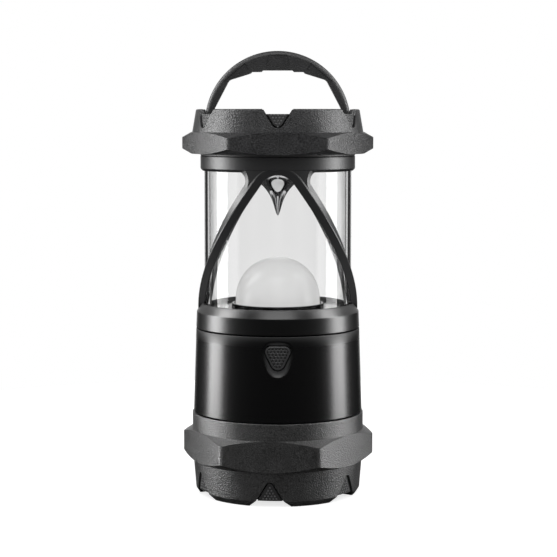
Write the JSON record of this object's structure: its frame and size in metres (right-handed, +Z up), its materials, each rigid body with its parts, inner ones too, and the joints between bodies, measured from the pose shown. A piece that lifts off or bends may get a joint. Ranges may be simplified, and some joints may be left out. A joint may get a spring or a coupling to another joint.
{
  "type": "camping lantern",
  "caption": "Upright battery lantern with a caged clear lens, mirror horn over a white dome, push button, folding bail and screw-off base.",
  "frame": {"origin": "middle of the foot, on the surface that the lantern stands on", "axes": "+Z up along the lantern's axis, button facing -Y, bail pivots along X"},
  "size_m": [0.0864, 0.0798, 0.2],
  "materials": {
    "guard plastic": "matte",
    "core plastic": "matte",
    "cage plastic": "satin",
    "body plastic": "satin",
    "bail plastic": "satin",
    "button rubber": "matte",
    "seal rubber": "matte",
    "clear lens": "gloss",
    "white diffuser": "satin",
    "mirror reflector": "polished",
    "deck plastic": "matte",
    "carrier plastic": "matte",
    "screw steel": "satin",
    "spring steel": "satin",
    "contact brass": "satin",
    "cell jacket": "satin",
    "sink aluminium": "satin",
    "circuit board": "satin",
    "component plastic": "matte",
    "light chip": "satin",
    "lead insulation": "matte"
  },
  "bodies": {
    "base": {"base_core": "core plastic", "base_bumper": "guard plastic", "base_pad": "seal rubber"},
    "battery_pack": {"carrier_bottom_plate": "carrier plastic", "carrier_top_plate": "carrier plastic", "carrier_core": "carrier plastic", "carrier_screws": "screw steel", "battery_cells": "cell jacket", "cell_springs": "spring steel", "cell_contacts": "contact brass", "carrier_terminals": "contact brass"},
    "housing": {"body_shell": "body plastic", "base_oring": "seal rubber", "contact_springs": "spring steel", "driver_board": "circuit board", "driver_components": "component plastic", "led_leads": "lead insulation", "tact_switch": "component plastic", "switch_board": "circuit board", "guard_cage": "cage plastic", "housing_screws": "screw steel", "lens_tube": "clear lens", "lens_seal_bottom": "seal rubber", "lens_seal_top": "seal rubber", "heat_sink": "sink aluminium", "led_board": "sink aluminium", "led_board_screws": "screw steel", "led_chips": "light chip", "light_deck": "deck plastic", "deck_screws": "screw steel", "led_dome": "white diffuser", "reflector": "mirror reflector", "cap_body": "core plastic", "cap_screws": "screw steel", "top_bumper": "guard plastic", "bail_pivots": "screw steel"},
    "button": {"power_button": "button rubber", "switch_plunger": "component plastic"},
    "bail": {"bail_handle": "bail plastic"}
  },
  "joints": [
    {"name": "base_turn", "type": "hinge", "parent": "base", "child": "battery_pack", "pos_m": [0, 0, 0], "axis": [0, 0, 1], "range_deg": [0, 540]},
    {"name": "base_lift", "type": "slide", "parent": "battery_pack", "child": "housing", "axis": [0, 0, 1], "range_m": [0, 0.00605]},
    {"name": "bail_swing", "type": "hinge", "parent": "housing", "child": "bail", "pos_m": [0, 0, 0.1672], "axis": [1, 0, 0], "range_deg": [-90, 90]},
    {"name": "button_press", "type": "slide", "parent": "housing", "child": "button", "axis": [0, 1, 0], "range_m": [0, 0.001], "stiffness_N_per_m": 1200, "springref_m": -0.0005}
  ],
  "couplings": [
    {"joint": "base_lift", "follows": "base_turn", "m_per_rad": 0.00063662}
  ]
}
